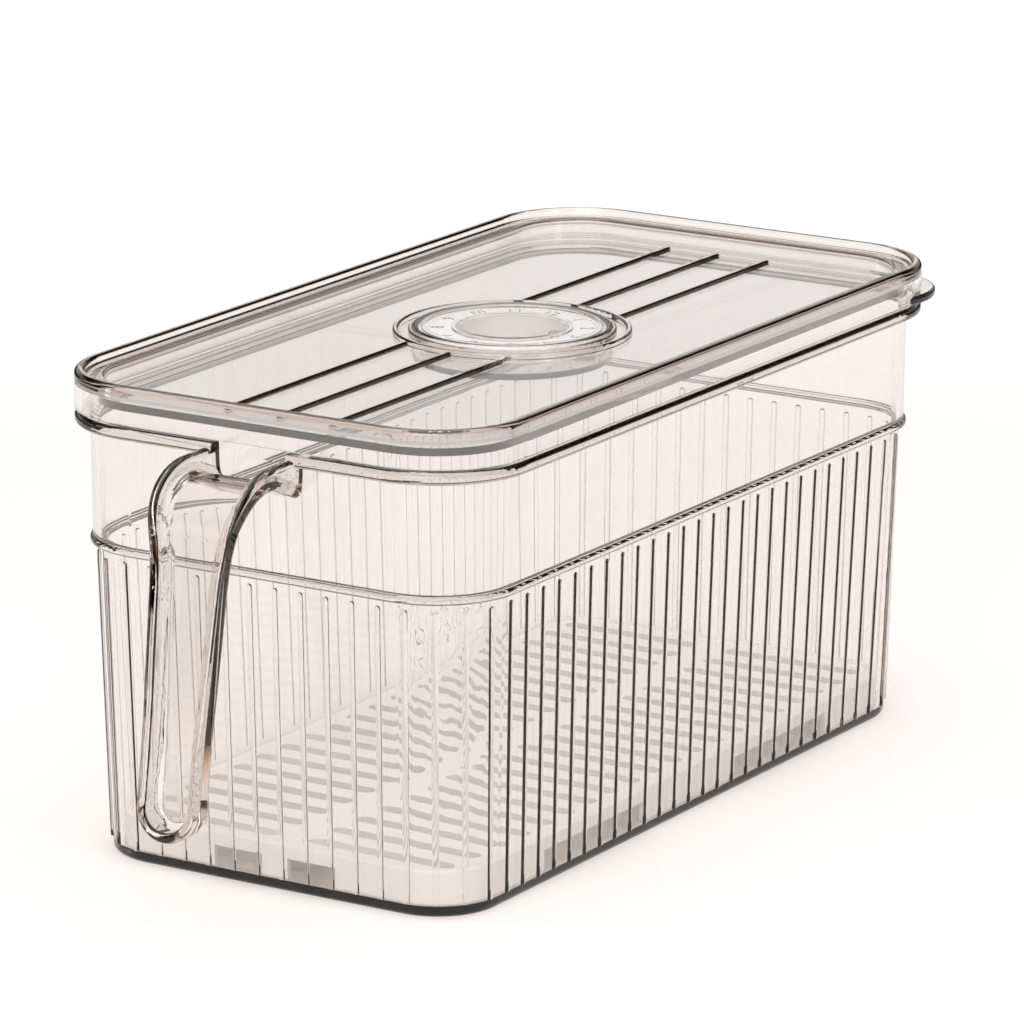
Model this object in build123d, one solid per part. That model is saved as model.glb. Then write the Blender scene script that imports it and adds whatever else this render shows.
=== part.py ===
from build123d import *
import os
from math import cos, radians, sin, sqrt, tan

# Fridge storage box with a moulded handle, a slotted drain tray and a flat lid with a date dial.
# Millimetres. +Z is up, +Y runs along the box, the handle is at the -Y end.
# The origin is on the surface the box stands on, at the middle of its base.

# Overall size of the closed box, without the handle and the lift tab
LENGTH = 256.0
WIDTH = 135.0
HEIGHT = 132.0
CORNER_R = 27.0

# Bin walls: how far the outside stands in from the overall outline at each level
WALL = 2.0
FLOOR = 3.0
BASE_INSET = 8.8
STEP_INSET_LOW = 6.0
STEP_INSET_HIGH = 4.5
MOUTH_INSET = 3.9
STEP_Z = 85.0
MOUTH_Z = 128.0
BASE_EDGE_R = 2.2
MOUTH_EDGE_R = 0.7

# Bead round the step and lip round the mouth
BEAD_INSET = 3.7
BEAD_H = 2.2
BEAD_R = 0.95
LIP_LOW_Z = 117.4
LIP_H = 3.4
LIP_R = 1.5

# Fluting of the lower wall
FLUTE_COUNT = 88
FLUTE_R = 0.95
FLUTE_SINK = 0.25
FLUTE_LOW_Z = 3.6
FLUTE_HIGH_Z = 82.2

# Handle: an open channel that arches out of the lip and hangs down in front of the bin
HANDLE_TOP_Z = 119.4
ARCH_Y = -137.2
ARCH_Z = 100.3
WEB_R = 12.6
WEB_T = 2.2
WEB_RISE_DEG = 22.0
WEB_LEAN_DEG = 7.8
RIM_LEAN_DEG = 9.0
HANDLE_WALL = 2.8
HANDLE_TIP_Z = 25.5
HANDLE_TIP_R = 9.1
HANDLE_HALF_WIDTHS = [(14.3, 122.0), (14.1, 113.0), (11.9, 102.0), (10.3, 82.0), (9.4, 58.0)]
HANDLE_EDGE_R = 1.25
HANDLE_INNER_R = 2.6
HANDLE_OUTER_R = 2.4

# Helpers: how far a cutting block goes beyond, how deep a joined piece sinks in, what counts as near
BEYOND = 20.0
SINK = 0.2
NEAR = 0.05

# Lid: stacking rim, ledge, sunk panel and a plug that drops into the mouth
SKIRT_Z = 121.7
SKIRT_T = 1.8
RIM_W = 3.0
LEDGE_Z = 130.0
LEDGE_T = 1.9
LEDGE_INSET = 8.0
PANEL_Z = 126.0
PANEL_T = 1.8
PLUG_GAP = 0.4
RIM_OUTER_R = 1.5
RIM_INNER_R = 1.0
LEDGE_EDGE_R = 0.8

# Lift tab on the far right corner of the lid
TAB_SHIFT = 10.5
TAB_R = 20.8
TAB_T = 2.4
TAB_EDGE_R = 0.9

# Six long ribs on the lid's panel
RIB_PITCH = 16.2
RIB_W = 2.4
RIB_H = 1.2
RIB_END_Y = 110.5
RIB_EDGE_R = 0.8

# Dial well in the middle of the lid, from the outside inwards
RING_R = 32.6
RING_W = 1.6
RING_TOP_Z = 127.6
WELL_RIM_R = 28.4
BEZEL_SEAT_R = 27.0
BEZEL_SEAT_Z = 125.0
WELL_R = 25.6
WELL_WALL = 1.6
WELL_FLOOR_Z = 119.2
WELL_FLOOR_T = 1.6
RING_EDGE_R = 0.6

# Date dial, its clear bezel and the clear grip ring in its bore
DIAL_R = 24.5
DIAL_TOP_Z = 127.2
DIAL_T = 1.6
DIAL_BORE_R = 15.5
DIAL_WALL = 1.5
DIAL_SKIRT_Z = 121.8
DIAL_EDGE_R = 0.4
DIAL_FLOAT = 0.3
BEZEL_R = 26.8
BEZEL_TOP_Z = 128.3
BEZEL_BORE_R = 24.9
BEZEL_LIP_R = 23.7
BEZEL_LIP_T = 0.8
POINTER_LENGTH = 3.6
POINTER_W = 3.2
GRIP_R = 15.4
GRIP_WALL = 1.1
GRIP_FLANGE_R = 16.6
GRIP_FLANGE_T = 0.7
GRIP_LOW_Z = 121.2
GRIP_LUG_W = 3.0
GRIP_LUG_REACH = 2.2

# Drain tray
TRAY_GAP = 1.1
TRAY_DECK_Z = 9.4
TRAY_DECK_T = 1.9
TRAY_RIM_Z = 8.6
TRAY_RIM_TOP_Z = 12.2
TRAY_RIM_W = 2.2
TRAY_LEG_T = 1.6
TRAY_EDGE_R = 0.6
TRAY_FOOT_GAP = 0.1
SLOT_W = 4.8
SLOT_PITCH = 11.2
SLOT_ROWS = 20
SLOT_INNER_X = 4.5
SLOT_SIDE_MARGIN = 6.0
LEG_GAP_ENDS_X = (4.0, 19.0)
LEG_GAP_SIDES_Y = (24.0, 75.0)


def outline(inset):
    """Rounded rectangle that stands in from the overall outline by the inset."""
    return RectangleRounded(WIDTH - 2 * inset, LENGTH - 2 * inset, CORNER_R - inset)


def slab(inset, low, high):
    """Straight block with the overall outline, moved in, between two levels."""
    return extrude(Plane.XY.offset(low) * outline(inset), high - low)


def draft_block(inset_low, low, inset_high, high):
    """Block whose outline opens out evenly from one level to another."""
    return loft(Sketch() + [
        Plane.XY.offset(low) * outline(inset_low),
        Plane.XY.offset(high) * outline(inset_high),
    ], ruled=True)


def disc(radius, low, high):
    """Upright cylinder between two levels."""
    return extrude(Plane.XY.offset(low) * Circle(radius), high - low)


def tube(outer, inner, low, high):
    """Upright tube between two levels."""
    return disc(outer, low, high) - disc(inner, low - 1, high + 1)


def edges_at(shape, level, tolerance=0.01):
    """Edges that lie flat at one level."""
    return [
        edge for edge in shape.edges()
        if abs(edge.bounding_box().min.Z - level) < tolerance
        and abs(edge.bounding_box().max.Z - level) < tolerance
    ]


def rounded_slab(inset, low, high, radius):
    """Slab with both outer edges rounded to a half-round rim."""
    block = slab(inset, low, high)
    return fillet(edges_at(block, low) + edges_at(block, high), radius)


def lower_inset(level):
    """Inset of the lower wall's outside at a level."""
    return BASE_INSET + (STEP_INSET_LOW - BASE_INSET) * level / STEP_Z


def outline_point(inset, along):
    """Point and outward direction on the outline, counted anticlockwise from the middle of the +X side."""
    half_x = WIDTH / 2 - inset
    half_y = LENGTH / 2 - inset
    radius = CORNER_R - inset
    run_y = half_y - radius
    run_x = half_x - radius
    arc = radius * radians(90)
    quarter = run_y + arc + run_x
    turn, rest = divmod(along, 2 * quarter)
    mirrored = rest > quarter
    step = 2 * quarter - rest if mirrored else rest
    if step <= run_y:
        x, y, nx, ny = half_x, step, 1.0, 0.0
    elif step <= run_y + arc:
        angle = (step - run_y) / radius
        nx, ny = cos(angle), sin(angle)
        x, y = run_x + radius * nx, run_y + radius * ny
    else:
        x, y, nx, ny = quarter - step, half_y, 0.0, 1.0
    if mirrored:
        x, nx = -x, -nx
    if turn % 2:
        x, y, nx, ny = -x, -y, -nx, -ny
    return x, y, nx, ny


def outline_length(inset):
    """Length once round the outline."""
    radius = CORNER_R - inset
    return 2 * (WIDTH - 2 * inset + LENGTH - 2 * inset - 4 * radius) + radius * radians(360)


def flutes():
    """Thin half-round ribs that stand on the lower wall all the way round."""
    low_inset = lower_inset(FLUTE_LOW_Z) + FLUTE_SINK
    high_inset = lower_inset(FLUTE_HIGH_Z) + FLUTE_SINK
    ribs = []
    for index in range(FLUTE_COUNT):
        share = (index + 0.5) / FLUTE_COUNT
        x0, y0, _, _ = outline_point(low_inset, share * outline_length(low_inset))
        x1, y1, _, _ = outline_point(high_inset, share * outline_length(high_inset))
        foot = Vector(x0, y0, FLUTE_LOW_Z)
        head = Vector(x1, y1, FLUTE_HIGH_Z)
        axis = head - foot
        plane = Plane(origin=foot, z_dir=axis.normalized())
        rod = extrude(plane * Circle(FLUTE_R), axis.length)
        ribs.append(rod)
        ribs.append(Pos(head.X, head.Y, head.Z) * Sphere(FLUTE_R))
    return ribs


def arch_curve(radius, rise_deg, lean_deg, wall_y, low_z):
    """Side view of the arch: a rising run from the bin, an arc, and a leaning run down."""
    rise = radians(rise_deg)
    lean = radians(lean_deg)
    start = (ARCH_Y + radius * sin(rise), ARCH_Z + radius * cos(rise))
    crest = (ARCH_Y, ARCH_Z + radius)
    end = (ARCH_Y - radius * cos(lean), ARCH_Z + radius * sin(lean))
    root = (wall_y, start[1] - (wall_y - start[0]) * tan(rise))
    drop = end[1] - low_z
    foot = (end[0] - drop * tan(lean), low_z)
    return root, start, crest, end, foot


def side_prism(inner, outer, half_width):
    """Block between two arch curves, drawn in the side view and extruded across."""
    root, start, crest, end, foot = inner
    root_o, start_o, crest_o, end_o, foot_o = outer
    lines = [
        Line(root, start),
        ThreePointArc(start, crest, end),
        Line(end, foot),
        Line(foot, foot_o),
        Line(foot_o, end_o),
        ThreePointArc(end_o, crest_o, start_o),
        Line(start_o, root_o),
        Line(root_o, root),
    ]
    return extrude(Plane.YZ * make_face(lines), half_width, both=True)


def arc_curve(radius, lean_deg, wall_y, low_z):
    """Side view of the free rim: level at first, then an arc and a leaning run down."""
    lean = radians(lean_deg)
    middle = radians(45)
    start = (ARCH_Y, ARCH_Z + radius)
    crest = (ARCH_Y - radius * sin(middle), ARCH_Z + radius * cos(middle))
    end = (ARCH_Y - radius * cos(lean), ARCH_Z + radius * sin(lean))
    root = (wall_y, start[1])
    foot = (end[0] - (end[1] - low_z) * tan(lean), low_z)
    return root, start, crest, end, foot


def front_prism(shrink, low_y, high_y):
    """Front view of the handle: a tapering strip with a half-round tip, extruded along the box."""
    tip_r = HANDLE_TIP_R - shrink
    tip_z = HANDLE_TIP_Z + HANDLE_TIP_R
    right = [(half - shrink, z) for half, z in HANDLE_HALF_WIDTHS] + [(tip_r, tip_z)]
    left = [(-x, z) for x, z in reversed(right)]
    outline_edges = [
        Spline(right, tangents=[(0, -1), (0, -1)]),
        ThreePointArc((tip_r, tip_z), (0, tip_z - tip_r), (-tip_r, tip_z)),
        Spline(left, tangents=[(0, 1), (0, 1)]),
        Line(left[-1], right[0]),
    ]
    face = make_face(outline_edges)
    plane = Plane(origin=(0, high_y, 0), x_dir=(1, 0, 0), z_dir=(0, -1, 0))
    return extrude(plane * face, high_y - low_y)


def handle():
    """Channel of the handle, open to the front, closed at its tip, joined to the bin at the lip."""
    root_y = -LENGTH / 2 + MOUTH_INSET + WALL / 2
    low_z = HANDLE_TIP_Z - BEYOND
    rim_radius = HANDLE_TOP_Z - ARCH_Z
    back = arch_curve(WEB_R, WEB_RISE_DEG, WEB_LEAN_DEG, root_y, low_z)
    front = arch_curve(WEB_R + WEB_T, WEB_RISE_DEG, WEB_LEAN_DEG, root_y, low_z)
    rim = arc_curve(rim_radius, RIM_LEAN_DEG, root_y, low_z)
    outside = arc_curve(rim_radius + BEYOND, RIM_LEAN_DEG, root_y, low_z - BEYOND)
    shell = side_prism(back, rim, WIDTH / 2) & front_prism(0, -LENGTH, root_y)
    shell = fillet(arch_edges(shell, WEB_R, WEB_RISE_DEG, WEB_LEAN_DEG), HANDLE_OUTER_R)
    hollow = side_prism(front, outside, WIDTH / 2) & front_prism(HANDLE_WALL, -LENGTH, root_y + WALL / 2)
    hollow = fillet(arch_edges(hollow, WEB_R + WEB_T, WEB_RISE_DEG, WEB_LEAN_DEG), HANDLE_INNER_R)
    channel = shell - hollow
    return fillet(arch_edges(channel, rim_radius, 0.0, RIM_LEAN_DEG), HANDLE_EDGE_R)


def arch_edges(shape, radius, rise_deg, lean_deg):
    """Long edges of a shape that lie on the surface of one arch: its rising run, its arc and its leaning run."""
    rise = radians(rise_deg)
    lean = radians(lean_deg)
    up = Vector(0, sin(rise), cos(rise))
    lead = Vector(0, -cos(lean), sin(lean))
    edges = []
    for edge in shape.edges():
        start, middle, end = [edge.position_at(share) for share in (0, 0.5, 1)]
        offset = Vector(0, middle.Y - ARCH_Y, middle.Z - ARCH_Z)
        on_rise = abs(offset.dot(up) - radius) < NEAR and middle.Y > ARCH_Y
        on_arc = abs(offset.length - radius) < NEAR
        on_run = abs(offset.dot(lead) - radius) < NEAR and middle.Z < ARCH_Z + radius * sin(lean)
        across = max(abs(start.Z - end.Z), abs(start.Z - middle.Z)) < NEAR and abs(start.Y - end.Y) < NEAR
        if (on_rise or on_arc or on_run) and not across and middle.Y < -LENGTH / 2:
            edges.append(edge)
    return edges


def bin_with_handle():
    """Clear bin: fluted lower wall, step with bead, plain upper wall, mouth lip and handle."""
    lower = draft_block(BASE_INSET, 0, STEP_INSET_LOW, STEP_Z + 1)
    lower = fillet(edges_at(lower, 0), BASE_EDGE_R)
    upper = draft_block(STEP_INSET_HIGH, STEP_Z, MOUTH_INSET, MOUTH_Z)
    bead = rounded_slab(BEAD_INSET, STEP_Z, STEP_Z + BEAD_H, BEAD_R)
    lip = rounded_slab(0, LIP_LOW_Z, LIP_LOW_Z + LIP_H, LIP_R)
    half_notch = HANDLE_HALF_WIDTHS[0][0] - HANDLE_WALL
    notch_y = -LENGTH / 2 + MOUTH_INSET + SINK / 2
    notch = Box(2 * half_notch, BEYOND, BEYOND, align=(Align.CENTER, Align.MAX, Align.CENTER))
    lip -= Pos(0, notch_y, LIP_LOW_Z) * notch
    body = lower + upper + bead + lip
    body = body + flutes()
    body = body + handle()
    low_cavity = draft_block(lower_inset(FLOOR) + WALL, FLOOR, STEP_INSET_LOW + WALL, STEP_Z + WALL)
    high_cavity = draft_block(STEP_INSET_HIGH + WALL, STEP_Z + WALL, MOUTH_INSET + WALL, MOUTH_Z + 1)
    body = body - low_cavity
    body = body - high_cavity
    return fillet(edges_at(body, MOUTH_Z), MOUTH_EDGE_R)


def panel_ribs():
    """Six long ribs on the panel, three each side of the dial ring."""
    ribs = []
    for column in (-1, 0, 1):
        x = column * RIB_PITCH
        ring_y = sqrt((RING_R - RING_EDGE_R) ** 2 - x ** 2)
        length = RIB_END_Y - ring_y
        centre = (RIB_END_Y + ring_y) / 2
        plan = Plane.XY.offset(PANEL_Z - SINK) * SlotOverall(length, RIB_W, rotation=90)
        bar = extrude(plan, RIB_H + SINK)
        bar = fillet(edges_at(bar, PANEL_Z + RIB_H), RIB_EDGE_R)
        for side in (-1, 1):
            ribs.append(Pos(x, side * centre, 0) * bar)
    return ribs


def lid():
    """Clear lid with its stacking rim, sunk panel, plug, ribs, dial well and lift tab."""
    block = slab(0, SKIRT_Z, HEIGHT)
    block = fillet(edges_at(block, HEIGHT), RIM_OUTER_R)
    block -= slab(SKIRT_T, SKIRT_Z - 1, LEDGE_Z - LEDGE_T)
    plug_inset = MOUTH_INSET + WALL + PLUG_GAP
    block += slab(plug_inset, PANEL_Z - PANEL_T, LEDGE_Z)
    block -= slab(RIM_W, LEDGE_Z, HEIGHT + 1)
    block -= slab(LEDGE_INSET, PANEL_Z, HEIGHT + 1)
    block = fillet(edges_at(block, HEIGHT), RIM_INNER_R)
    ledge_inside = [
        edge for edge in edges_at(block, LEDGE_Z)
        if abs(edge.position_at(0.5).X) < WIDTH / 2 - LEDGE_INSET + 0.5
        and abs(edge.position_at(0.5).Y) < LENGTH / 2 - LEDGE_INSET + 0.5
    ]
    block = fillet(ledge_inside, LEDGE_EDGE_R)

    corner_x = WIDTH / 2 - CORNER_R + TAB_SHIFT * sin(radians(45))
    corner_y = LENGTH / 2 - CORNER_R + TAB_SHIFT * sin(radians(45))
    tab = Pos(corner_x, corner_y, 0) * disc(TAB_R, SKIRT_Z, SKIRT_Z + TAB_T)
    tab = fillet(edges_at(tab, SKIRT_Z) + edges_at(tab, SKIRT_Z + TAB_T), TAB_EDGE_R)
    tab -= slab(SKIRT_T / 2, SKIRT_Z - 1, HEIGHT)
    block += tab

    block += panel_ribs()
    ring = tube(RING_R, RING_R - RING_W, PANEL_Z - SINK, RING_TOP_Z)
    ring = fillet(edges_at(ring, RING_TOP_Z), RING_EDGE_R)
    rim = tube(WELL_RIM_R, BEZEL_SEAT_R, PANEL_Z - SINK, RING_TOP_Z)
    rim = fillet(edges_at(rim, RING_TOP_Z), RING_EDGE_R)
    well = disc(WELL_R + WELL_WALL, WELL_FLOOR_Z - WELL_FLOOR_T, PANEL_Z)
    well = fillet(edges_at(well, WELL_FLOOR_Z - WELL_FLOOR_T), RING_EDGE_R)
    block = block + ring + rim + well
    block -= disc(WELL_R, WELL_FLOOR_Z, HEIGHT)
    block -= disc(BEZEL_SEAT_R, BEZEL_SEAT_Z, HEIGHT)
    return block


def date_dial():
    """White dial: a flat ring with a deep bore wall and a short outer skirt."""
    plate = tube(DIAL_R, DIAL_BORE_R, DIAL_TOP_Z - DIAL_T, DIAL_TOP_Z)
    outer_edges = [edge for edge in edges_at(plate, DIAL_TOP_Z) if edge.radius > DIAL_BORE_R + 1]
    plate = fillet(outer_edges, DIAL_EDGE_R)
    bore_wall = tube(DIAL_BORE_R + DIAL_WALL, DIAL_BORE_R, WELL_FLOOR_Z + DIAL_FLOAT, DIAL_TOP_Z - DIAL_T)
    skirt = tube(DIAL_R, DIAL_R - DIAL_WALL, DIAL_SKIRT_Z, DIAL_TOP_Z - DIAL_T)
    return plate + bore_wall + skirt


def dial_bezel():
    """Clear ring that holds the dial down, with a pointer over the dial's edge."""
    ring = tube(BEZEL_R, BEZEL_BORE_R, BEZEL_SEAT_Z, BEZEL_TOP_Z)
    lip = tube(BEZEL_BORE_R + SINK, BEZEL_LIP_R, BEZEL_TOP_Z - BEZEL_LIP_T, BEZEL_TOP_Z)
    base_x = BEZEL_LIP_R + 2 * SINK
    triangle = Polygon(
        (base_x, -POINTER_W / 2), (base_x, POINTER_W / 2), (base_x - POINTER_LENGTH, 0), align=None
    )
    pointer = extrude(Plane.XY.offset(BEZEL_TOP_Z - BEZEL_LIP_T) * triangle, BEZEL_LIP_T)
    ring = ring + lip + pointer
    rim_edges = [
        edge for edge in edges_at(ring, BEZEL_TOP_Z)
        if edge.geom_type == GeomType.CIRCLE and edge.radius > BEZEL_BORE_R
    ]
    return fillet(rim_edges, RING_EDGE_R)


def dial_grip_ring():
    """Clear ring that lines the dial's bore, with a lug to turn it by."""
    sleeve = tube(GRIP_R, GRIP_R - GRIP_WALL, GRIP_LOW_Z, DIAL_TOP_Z + GRIP_FLANGE_T)
    flange = tube(GRIP_FLANGE_R, GRIP_R - SINK, DIAL_TOP_Z, DIAL_TOP_Z + GRIP_FLANGE_T)
    lug_x = GRIP_R - GRIP_WALL - GRIP_LUG_REACH
    lug = Pos(lug_x, 0, GRIP_LOW_Z) * Box(
        GRIP_LUG_REACH + 2 * SINK, GRIP_LUG_W, DIAL_TOP_Z + GRIP_FLANGE_T - GRIP_LOW_Z,
        align=(Align.MIN, Align.CENTER, Align.MIN),
    )
    lug = fillet(lug.edges().filter_by(Axis.Z).sort_by(Axis.X)[:2], RING_EDGE_R)
    return sleeve + flange + lug


def drain_tray():
    """White slotted tray on short legs that keeps food off the floor of the bin."""
    inset = lower_inset(FLOOR) + WALL + TRAY_GAP
    foot_z = FLOOR + TRAY_FOOT_GAP
    rim = slab(inset, TRAY_RIM_Z, TRAY_RIM_TOP_Z)
    rim = fillet(edges_at(rim, TRAY_RIM_TOP_Z), TRAY_EDGE_R)
    rim -= slab(inset + TRAY_RIM_W, TRAY_RIM_Z - 1, TRAY_RIM_TOP_Z + 1)
    deck = slab(inset + TRAY_RIM_W / 2, TRAY_DECK_Z, TRAY_DECK_Z + TRAY_DECK_T)
    legs = slab(inset, foot_z, TRAY_RIM_Z + 0.5) - slab(inset + TRAY_LEG_T, foot_z - 1, TRAY_RIM_Z + 1)
    leg_h = TRAY_RIM_Z - foot_z
    for side in (-1, 1):
        near, far = LEG_GAP_ENDS_X
        end_gap = Box(far - near, LENGTH, 2 * leg_h)
        legs -= Pos(side * (near + far) / 2, 0, TRAY_RIM_Z - leg_h) * end_gap
        near, far = LEG_GAP_SIDES_Y
        side_gap = Box(WIDTH, far - near, 2 * leg_h)
        legs -= Pos(0, side * (near + far) / 2, TRAY_RIM_Z - leg_h) * side_gap
    tray = rim + deck + legs

    half_x = WIDTH / 2 - inset
    half_y = LENGTH / 2 - inset
    corner = CORNER_R - inset
    first_y = -(SLOT_ROWS - 1) / 2 * SLOT_PITCH
    slots = []
    for row in range(SLOT_ROWS):
        y = first_y + row * SLOT_PITCH
        past = max(0.0, abs(y) - (half_y - corner))
        edge_x = half_x - corner + sqrt(max(corner ** 2 - past ** 2, 0.0))
        outer_x = edge_x - SLOT_SIDE_MARGIN
        length = outer_x - SLOT_INNER_X
        for side in (-1, 1):
            plan = Pos(side * (outer_x + SLOT_INNER_X) / 2, y) * SlotOverall(length, SLOT_W)
            slots.append(extrude(Plane.XY.offset(TRAY_DECK_Z - 1) * plan, TRAY_DECK_T + 2))
    return tray - slots


def save(name, shape):
    """Write one node, as a single solid, and print its size."""
    solids = shape.solids()
    box = shape.bounding_box()
    print(name, "solids", len(solids), "volume", round(shape.volume), "valid", shape.is_valid)
    print("   from", [round(v, 2) for v in box.min], "to", [round(v, 2) for v in box.max])
    export_step(solids[0] if len(solids) == 1 else shape, "parts/" + name + ".step")


def main():
    os.makedirs("parts", exist_ok=True)
    save("bin", bin_with_handle())
    save("drain_tray", drain_tray())
    save("lid", lid())
    save("date_dial", date_dial())
    save("dial_bezel", dial_bezel())
    save("dial_grip_ring", dial_grip_ring())


main()
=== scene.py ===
from math import cos, pi, radians, sin

import bpy
from mathutils import Matrix, Vector


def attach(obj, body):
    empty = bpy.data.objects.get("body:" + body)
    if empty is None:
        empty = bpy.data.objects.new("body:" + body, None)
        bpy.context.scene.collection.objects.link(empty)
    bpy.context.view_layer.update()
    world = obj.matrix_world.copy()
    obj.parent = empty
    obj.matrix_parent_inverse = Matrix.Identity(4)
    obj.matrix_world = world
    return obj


# Looks of the fridge storage box. Metres, in the CAD frame.

# Camera, fitted to the photo's outlines. Angles in degrees, lens and sensor in millimetres.
CAMERA_AZIMUTH = 31.95
CAMERA_HEIGHT = 14.83
CAMERA_DISTANCE = 1.826
CAMERA_TARGET_Z = 0.0755
CAMERA_LENS = 234.9
CAMERA_SENSOR = 36.0
CAMERA_ROLL = 0.1
CAMERA_REACH = 50.0

# Clear plastic: light taken up per metre in red, green and blue, and slow ripples in the surface
CLEAR_IOR = 1.5
CLEAR_ROUGHNESS = 0.0
BIN_ABSORBED = (25.0, 33.0, 40.0)
LID_ABSORBED = (21.0, 29.0, 35.0)
TRIM_ABSORBED = (10.0, 18.0, 26.0)
BIN_RIPPLE = 0.03
LID_RIPPLE = 0.04
TRIM_RIPPLE = 0.03
RIPPLE_SCALE = 28.0
RIPPLE_DETAIL = 1.5
RIPPLE_DEPTH = 0.0006
SHADOW_TINT = (0.992, 0.99, 0.988, 1)

# White plastic
WHITE_IOR = 1.49
TRAY_WHITE = (0.95, 0.947, 0.945)
TRAY_ROUGHNESS = 0.42
TRAY_GRAIN = 0.12
DIAL_WHITE = (0.88, 0.88, 0.875)
DIAL_ROUGHNESS = 0.3
DIAL_GRAIN = 0.05
CLOUD_SCALE = 45.0
CLOUD_DETAIL = 3.0
CLOUD_SHADE = 0.965
GLOSS_CHANGE = 0.05
GRAIN_SCALE = 900.0
GRAIN_DEPTH = 0.0001

# Marks printed on the dial's face
DIAL_TOP = 0.1272
PRINT_LIFT = 0.00002
NUMERAL_COUNT = 12
NUMERAL_R = 0.0201
NUMERAL_SIZE = 0.0052
NUMERAL_HALF_DEPTH = 0.00003
NUMERAL_CURVE_STEPS = 3
TICK_COUNT = 60
LONG_TICK_EVERY = 5
TICK_OUTER_R = 0.0233
TICK_LENGTH = 0.0007
LONG_TICK_LENGTH = 0.0012
TICK_WIDTH = 0.00022
TICK_DEPTH = 0.00006
INK_GREY = (0.30, 0.30, 0.30)
INK_PALER = 1.2
INK_ROUGHNESS = 0.5
INK_SCALE = 300.0

# Table: white near the box, then a tan rim and a dark room that the camera doesn't see directly
FLOOR_WHITE = (0.9, 0.9, 0.9)
FLOOR_ROUGHNESS = 0.9
FLOOR_HALF = 6.0
FLOOR_GAP = 0.0003
FLOOR_GLOW = (0.08, 0.56)
GLOW_REACH = (0.4, 1.3)
TABLE_EDGE = (0.75, 1.3)
TABLE_RIM = (0.62, 0.36, 0.2)
TABLE_RIM_AT = 0.4
ROOM_DARK = (0.024, 0.012, 0.006)

# Sky: bands of colour by height, from level (0) to straight up (1)
SKY = [
    (0.06, (0.02, 0.015, 0.01)),
    (0.12, (0.62, 0.33, 0.17)),
    (0.17, (0.9, 0.9, 0.9)),
    (0.34, (0.9, 0.9, 0.9)),
    (0.40, (0.62, 0.33, 0.17)),
    (0.45, (0.05, 0.04, 0.03)),
    (0.55, (0.05, 0.04, 0.03)),
    (0.61, (0.62, 0.33, 0.17)),
    (0.7, (1.0, 1.0, 1.0)),
]
SKY_STRENGTH = 0.75

# Soft lights: place, aim, width and depth, watts
LIGHTS = {
    "overhead": ((0.2, 0.1, 1.6), (0, 0, 0.05), (2.0, 2.0), 12.8),
    "front": ((0.5, -1.7, 1.1), (0, 0, 0.06), (1.3, 0.8), 12.5),
    "side": ((1.5, -0.6, 0.9), (0, 0, 0.06), (0.3, 1.2), 2.5),
    "left": ((-1.5, -0.5, 1.0), (0, 0, 0.06), (0.3, 1.2), 2.5),
}


def start_material(name):
    """New material with its node tree and its main shader."""
    material = bpy.data.materials.new(name)
    material.use_nodes = True
    tree = material.node_tree
    return material, tree, tree.nodes["Principled BSDF"]


def calculate(tree, operation, first, second, clamp=False):
    """One sum on two values, each a number or another node's output."""
    node = tree.nodes.new("ShaderNodeMath")
    node.operation = operation
    node.use_clamp = clamp
    for socket, value in zip(node.inputs, (first, second)):
        if isinstance(value, float):
            socket.default_value = value
        else:
            tree.links.new(value, socket)
    return node.outputs["Value"]


def spread(tree, value, before, after):
    """Value moved from one range to another."""
    node = tree.nodes.new("ShaderNodeMapRange")
    node.inputs["From Min"].default_value, node.inputs["From Max"].default_value = before
    node.inputs["To Min"].default_value, node.inputs["To Max"].default_value = after
    tree.links.new(value, node.inputs["Value"])
    return node.outputs["Result"]


def bands(tree, value, steps):
    """Colours that follow a value, from steps of level and colour."""
    node = tree.nodes.new("ShaderNodeValToRGB")
    stops = node.color_ramp.elements
    for level, _ in steps[len(stops):]:
        stops.new(level)
    for stop, (level, colour) in zip(stops, steps):
        stop.position = level
        stop.color = (*colour, 1)
    tree.links.new(value, node.inputs["Fac"])
    return node.outputs["Color"]


def speckle(tree, scale, detail=2.0):
    """Noise in the piece's own coordinates."""
    place = tree.nodes.new("ShaderNodeTexCoord")
    noise = tree.nodes.new("ShaderNodeTexNoise")
    noise.inputs["Scale"].default_value = scale
    noise.inputs["Detail"].default_value = detail
    tree.links.new(place.outputs["Object"], noise.inputs["Vector"])
    return noise.outputs["Fac"]


def ripple(tree, shader, height, strength, depth):
    """Shallow bumps on a shader's surface."""
    bump = tree.nodes.new("ShaderNodeBump")
    bump.inputs["Strength"].default_value = strength
    bump.inputs["Distance"].default_value = depth
    tree.links.new(height, bump.inputs["Height"])
    tree.links.new(bump.outputs["Normal"], shader.inputs["Normal"])


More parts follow.
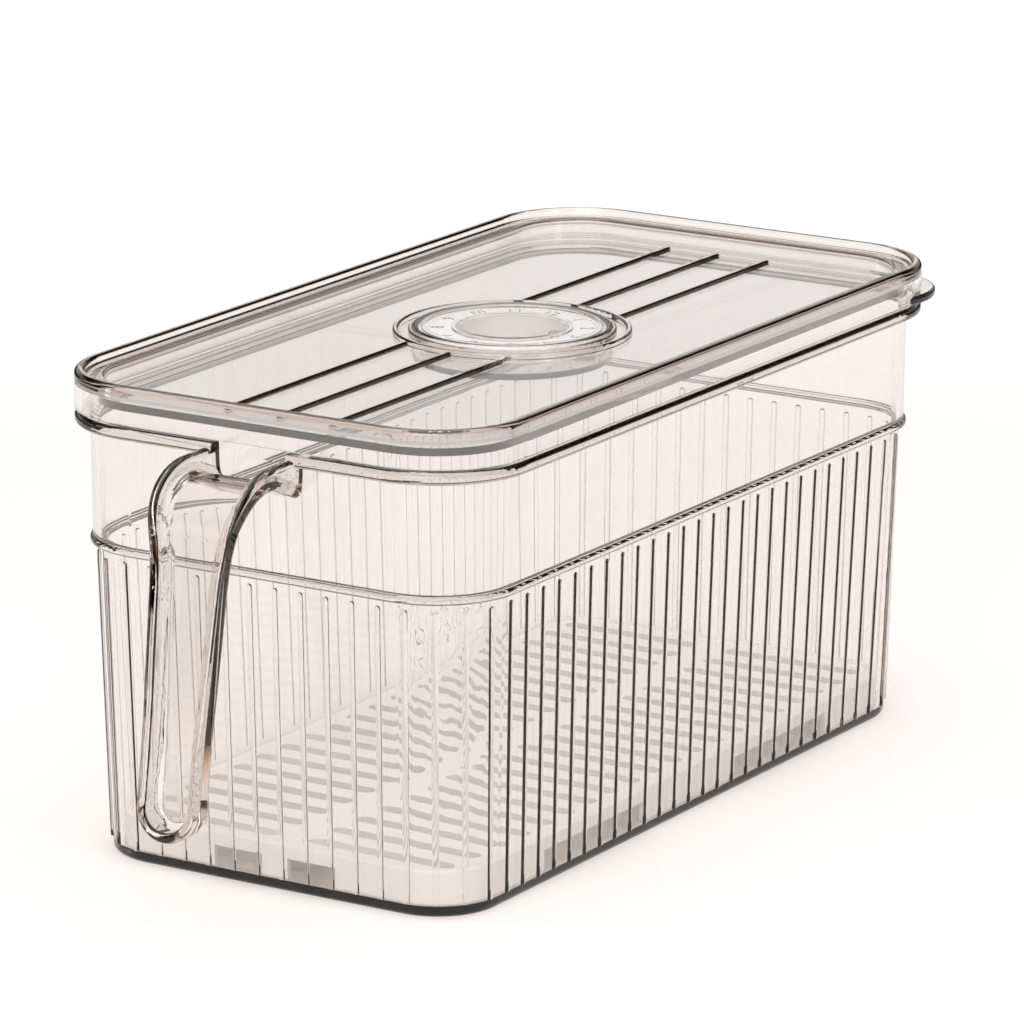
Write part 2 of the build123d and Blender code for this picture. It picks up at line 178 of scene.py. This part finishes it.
def clear_plastic(name, absorbed, bump):
    """Polished clear plastic. Light takes up colour along its way through it, and lamps shine through."""
    material, tree, shader = start_material(name)
    output = tree.nodes["Material Output"]
    shader.inputs["Base Color"].default_value = (1, 1, 1, 1)
    shader.inputs["Roughness"].default_value = CLEAR_ROUGHNESS
    shader.inputs["IOR"].default_value = CLEAR_IOR
    shader.inputs["Transmission Weight"].default_value = 1.0
    ripple(tree, shader, speckle(tree, RIPPLE_SCALE, RIPPLE_DETAIL), bump, RIPPLE_DEPTH)

    ray = tree.nodes.new("ShaderNodeLightPath")
    from_lamp = calculate(tree, "MAXIMUM", ray.outputs["Is Shadow Ray"], ray.outputs["Is Diffuse Ray"])
    through = tree.nodes.new("ShaderNodeBsdfTransparent")
    through.inputs["Color"].default_value = SHADOW_TINT
    mix = tree.nodes.new("ShaderNodeMixShader")
    tree.links.new(from_lamp, mix.inputs["Fac"])
    tree.links.new(shader.outputs["BSDF"], mix.inputs[1])
    tree.links.new(through.outputs["BSDF"], mix.inputs[2])
    tree.links.new(mix.outputs["Shader"], output.inputs["Surface"])

    strongest = max(absorbed)
    volume = tree.nodes.new("ShaderNodeVolumeAbsorption")
    volume.inputs["Color"].default_value = (*[1 - share / strongest for share in absorbed], 1)
    volume.inputs["Density"].default_value = strongest
    tree.links.new(volume.outputs["Volume"], output.inputs["Volume"])
    return material


def white_plastic(name, colour, roughness, grain):
    """Opaque white plastic with fine grain and small changes of shade and gloss."""
    material, tree, shader = start_material(name)
    shader.inputs["IOR"].default_value = WHITE_IOR
    cloud = speckle(tree, CLOUD_SCALE, CLOUD_DETAIL)
    darker = [CLOUD_SHADE * level for level in colour]
    shade = bands(tree, cloud, [(0.0, darker), (1.0, colour)])
    gloss = spread(tree, cloud, (0.0, 1.0), (roughness - GLOSS_CHANGE, roughness + GLOSS_CHANGE))
    tree.links.new(shade, shader.inputs["Base Color"])
    tree.links.new(gloss, shader.inputs["Roughness"])
    ripple(tree, shader, speckle(tree, GRAIN_SCALE), grain, GRAIN_DEPTH)
    return material


def ink(name, colour):
    """Flat printed ink with a faint unevenness."""
    material, tree, shader = start_material(name)
    shader.inputs["Roughness"].default_value = INK_ROUGHNESS
    paler = [INK_PALER * level for level in colour]
    shade = bands(tree, speckle(tree, INK_SCALE), [(0.0, colour), (1.0, paler)])
    tree.links.new(shade, shader.inputs["Base Color"])
    return material


def coat(node, material):
    """Give a CAD node one material."""
    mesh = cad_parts[node].data
    mesh.materials.clear()
    mesh.materials.append(material)


def dial_spot(radius, angle):
    """Move to a place on the dial's face."""
    return Matrix.Translation((radius * cos(angle), radius * sin(angle), DIAL_TOP + PRINT_LIFT))


def numeral(number):
    """One printed numeral, its foot towards the middle of the dial."""
    angle = radians(90 - 360 / NUMERAL_COUNT * number)
    bpy.ops.object.text_add(location=(0, 0, 0))
    text = bpy.context.object
    text.data.body = str(number)
    text.data.size = NUMERAL_SIZE
    text.data.align_x = "CENTER"
    text.data.align_y = "CENTER"
    text.data.extrude = NUMERAL_HALF_DEPTH
    text.data.resolution_u = NUMERAL_CURVE_STEPS
    bpy.ops.object.convert(target="MESH")
    text.data.transform(dial_spot(NUMERAL_R, angle) @ Matrix.Rotation(angle - pi / 2, 4, "Z"))
    return text


def tick(index):
    """One printed tick at the dial's edge, longer at every fifth."""
    angle = radians(360 / TICK_COUNT * index)
    length = LONG_TICK_LENGTH if index % LONG_TICK_EVERY == 0 else TICK_LENGTH
    bpy.ops.mesh.primitive_cube_add(size=1, location=(0, 0, 0))
    line = bpy.context.object
    size = Matrix.Diagonal((length, TICK_WIDTH, TICK_DEPTH, 1))
    place = dial_spot(TICK_OUTER_R - length / 2, angle)
    line.data.transform(place @ Matrix.Rotation(angle, 4, "Z") @ size)
    return line


def dial_marks(material):
    """Numerals 1 to 12 and ticks, printed on the dial's white face and turning with it."""
    marks = [numeral(number) for number in range(1, NUMERAL_COUNT + 1)]
    marks += [tick(index) for index in range(TICK_COUNT)]
    bpy.ops.object.select_all(action="DESELECT")
    for mark in marks:
        mark.select_set(True)
    bpy.context.view_layer.objects.active = marks[0]
    bpy.ops.object.join()
    printed = bpy.context.object
    printed.name = "dial_print"
    printed.data.materials.clear()
    printed.data.materials.append(material)
    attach(printed, "dial")


def table():
    """White table. Far out it glows white for the camera, and is dark in the clear edges."""
    bpy.ops.mesh.primitive_plane_add(size=2 * FLOOR_HALF, location=(0, 0, -FLOOR_GAP))
    floor = bpy.context.object
    floor.name = "floor"
    material, tree, shader = start_material("floor_white")
    shader.inputs["Roughness"].default_value = FLOOR_ROUGHNESS
    shader.inputs["Specular IOR Level"].default_value = 0.0
    shader.inputs["Emission Color"].default_value = (1, 1, 1, 1)
    place = tree.nodes.new("ShaderNodeTexCoord")
    length = tree.nodes.new("ShaderNodeVectorMath")
    length.operation = "LENGTH"
    tree.links.new(place.outputs["Object"], length.inputs[0])
    away = length.outputs["Value"]
    ray = tree.nodes.new("ShaderNodeLightPath")

    past_edge = spread(tree, away, TABLE_EDGE, (0.0, 1.0))
    dark = calculate(tree, "SUBTRACT", past_edge, ray.outputs["Is Camera Ray"], clamp=True)
    colour = bands(tree, dark, [(0.0, FLOOR_WHITE), (TABLE_RIM_AT, TABLE_RIM), (1.0, ROOM_DARK)])
    tree.links.new(colour, shader.inputs["Base Color"])

    lit = calculate(tree, "SUBTRACT", 1.0, dark)
    watched = calculate(tree, "SUBTRACT", 1.0, ray.outputs["Is Diffuse Ray"])
    shown = calculate(tree, "MULTIPLY", lit, watched)
    glow = calculate(tree, "MULTIPLY", shown, spread(tree, away, GLOW_REACH, FLOOR_GLOW))
    tree.links.new(glow, shader.inputs["Emission Strength"])
    floor.data.materials.append(material)


def sky():
    """Pale sky with dark and tan bands, which draw the lines in the clear edges."""
    world = bpy.data.worlds.new("studio")
    bpy.context.scene.world = world
    world.use_nodes = True
    tree = world.node_tree
    back = tree.nodes["Background"]
    direction = tree.nodes.new("ShaderNodeTexCoord")
    split = tree.nodes.new("ShaderNodeSeparateXYZ")
    tree.links.new(direction.outputs["Generated"], split.inputs["Vector"])
    tree.links.new(bands(tree, split.outputs["Z"], SKY), back.inputs["Color"])
    back.inputs["Strength"].default_value = SKY_STRENGTH


def area_light(name, place, aim, size, watts):
    """Soft rectangular light that points at its aim."""
    data = bpy.data.lights.new(name, "AREA")
    data.shape = "RECTANGLE"
    data.size, data.size_y = size
    data.energy = watts
    light = bpy.data.objects.new(name, data)
    bpy.context.scene.collection.objects.link(light)
    light.location = place
    light.rotation_euler = (Vector(aim) - Vector(place)).to_track_quat("-Z", "Y").to_euler()


def camera():
    """Camera at the photo's viewing angle."""
    azimuth, height = radians(CAMERA_AZIMUTH), radians(CAMERA_HEIGHT)
    back = Vector((sin(azimuth) * cos(height), -cos(azimuth) * cos(height), sin(height)))
    right = Vector((cos(azimuth), sin(azimuth), 0))
    up = back.cross(right)
    roll = Matrix.Rotation(radians(CAMERA_ROLL), 3, "Z")
    turn = Matrix((right, up, back)).transposed() @ roll
    data = bpy.data.cameras.new("camera")
    data.lens = CAMERA_LENS
    data.sensor_width = CAMERA_SENSOR
    data.clip_end = CAMERA_REACH
    view = bpy.data.objects.new("camera", data)
    bpy.context.scene.collection.objects.link(view)
    place = Vector((0, 0, CAMERA_TARGET_Z)) + back * CAMERA_DISTANCE
    view.matrix_world = Matrix.Translation(place) @ turn.to_4x4()
    bpy.context.scene.camera = view


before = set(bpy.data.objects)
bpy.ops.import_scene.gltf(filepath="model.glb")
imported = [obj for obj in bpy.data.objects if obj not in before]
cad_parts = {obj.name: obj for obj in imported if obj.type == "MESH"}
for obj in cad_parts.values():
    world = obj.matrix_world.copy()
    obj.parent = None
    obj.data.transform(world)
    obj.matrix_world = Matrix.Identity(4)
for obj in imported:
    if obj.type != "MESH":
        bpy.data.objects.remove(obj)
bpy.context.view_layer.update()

camera()
table()
sky()
for light_name, (light_place, light_aim, light_size, light_watts) in LIGHTS.items():
    area_light(light_name, light_place, light_aim, light_size, light_watts)

coat("bin", clear_plastic("bin_clear", BIN_ABSORBED, BIN_RIPPLE))
coat("lid", clear_plastic("lid_clear", LID_ABSORBED, LID_RIPPLE))
trim_clear = clear_plastic("trim_clear", TRIM_ABSORBED, TRIM_RIPPLE)
coat("dial_bezel", trim_clear)
coat("dial_grip_ring", trim_clear)
coat("drain_tray", white_plastic("tray_white", TRAY_WHITE, TRAY_ROUGHNESS, TRAY_GRAIN))
coat("date_dial", white_plastic("dial_white", DIAL_WHITE, DIAL_ROUGHNESS, DIAL_GRAIN))
dial_marks(ink("dial_ink", INK_GREY))

bpy.context.scene.view_settings.view_transform = "Standard"
